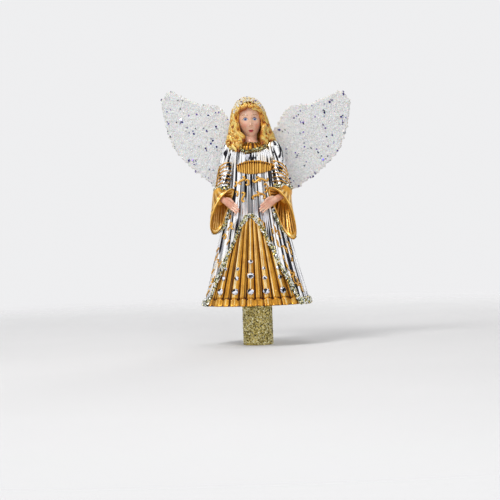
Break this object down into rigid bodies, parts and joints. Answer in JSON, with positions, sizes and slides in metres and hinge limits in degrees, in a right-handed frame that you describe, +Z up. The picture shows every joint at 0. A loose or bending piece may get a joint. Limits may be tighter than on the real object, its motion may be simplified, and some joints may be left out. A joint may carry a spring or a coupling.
{
  "type": "angel tree topper",
  "caption": "Robed angel figure with spread wings on a hollow tubular neck that slips over the tip of a decorated tree.",
  "frame": {"origin": "centre of the neck tube's open end, where the tree tip goes in", "axes": "+Z up along the neck, front of the figure towards -Y, +X to the right seen from the front"},
  "size_m": [0.2034, 0.098, 0.2701],
  "materials": {
    "silver_lacquer": "silvered mirror lacquer, high gloss",
    "gold_lacquer": "pearl gold lacquer, satin gloss",
    "coarse_glitter": "coarse silver, green and gold glitter in clear glue",
    "white_glitter": "white iridescent glitter",
    "neck_glitter": "fine olive gold glitter on a plain tube",
    "painted_skin": "glossy flesh paint",
    "painted_hair": "glossy golden paint",
    "frosted_wing": "frosted white with scattered violet flakes",
    "rhinestone": "foil-backed cut stone"
  },
  "bodies": {
    "root": {"neck_tube": "neck_glitter", "base_plate": "silver_lacquer", "gown": "silver_lacquer", "underskirt_panel": "gold_lacquer", "bust_ruffle": "gold_lacquer", "collar_ruffle": "gold_lacquer", "collar_trim": "coarse_glitter", "head": "painted_skin", "hair": "painted_hair", "tiara": "white_glitter", "coat_trim_left": "coarse_glitter", "sleeve_left": "silver_lacquer", "wrist_trim_left": "coarse_glitter", "cuff_left": "gold_lacquer", "cuff_trim_left": "coarse_glitter", "hand_left": "painted_skin", "wing_left": "frosted_wing", "coat_trim_right": "coarse_glitter", "sleeve_right": "silver_lacquer", "wrist_trim_right": "coarse_glitter", "cuff_right": "gold_lacquer", "cuff_trim_right": "coarse_glitter", "hand_right": "painted_skin", "wing_right": "frosted_wing", "rhinestone_01": "rhinestone", "rhinestone_02": "rhinestone", "rhinestone_03": "rhinestone", "rhinestone_04": "rhinestone", "rhinestone_05": "rhinestone", "rhinestone_06": "rhinestone", "rhinestone_07": "rhinestone", "rhinestone_08": "rhinestone", "rhinestone_09": "rhinestone", "rhinestone_10": "rhinestone", "rhinestone_11": "rhinestone", "rhinestone_12": "rhinestone", "rhinestone_13": "rhinestone", "rhinestone_14": "rhinestone", "rhinestone_15": "rhinestone"}
  },
  "joints": []
}
